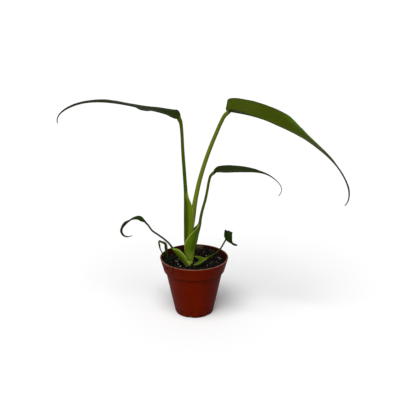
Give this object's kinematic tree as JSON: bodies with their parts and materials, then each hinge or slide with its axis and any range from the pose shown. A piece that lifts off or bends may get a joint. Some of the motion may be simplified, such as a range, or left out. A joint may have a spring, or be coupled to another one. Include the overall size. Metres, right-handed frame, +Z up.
{
  "type": "potted burle marx flame monstera",
  "caption": "Young narrow-leaved aroid in a small round nursery pot: long drip-tip blades on sheathed stalks rising from a short crown in dark potting mix.",
  "frame": {"origin": "middle of the pot's flat bottom, on the surface that it stands on", "axes": "+Z up, +X towards the side of the newest and widest leaf, +Y away from the front"},
  "size_m": [0.2258, 0.055, 0.173],
  "materials": {
    "pot": "thin moulded terracotta-red plastic, slightly glossy",
    "soil": "dark moist peat and bark mix, matte",
    "crown": "pale green stem, satin",
    "pale_stalk": "yellow-green stalk, satin",
    "mid_stalk": "green stalk, satin",
    "dark_stalk": "deeper green stalk, satin",
    "new_blade": "mid green young leaf, satin",
    "dark_blade": "dark green leaf with a soft sheen"
  },
  "bodies": {
    "root": {"pot": "pot", "soil": "soil", "crown": "crown", "stalk_tall_left": "mid_stalk", "blade_tall_left": "dark_blade", "stalk_tall_right": "pale_stalk", "blade_tall_right": "new_blade", "stalk_middle_right": "dark_stalk", "blade_middle_right": "dark_blade", "stalk_low_left": "pale_stalk", "blade_low_left": "dark_blade", "stalk_low_right": "pale_stalk", "blade_low_right": "dark_blade", "bent_shoot": "mid_stalk"}
  },
  "joints": []
}
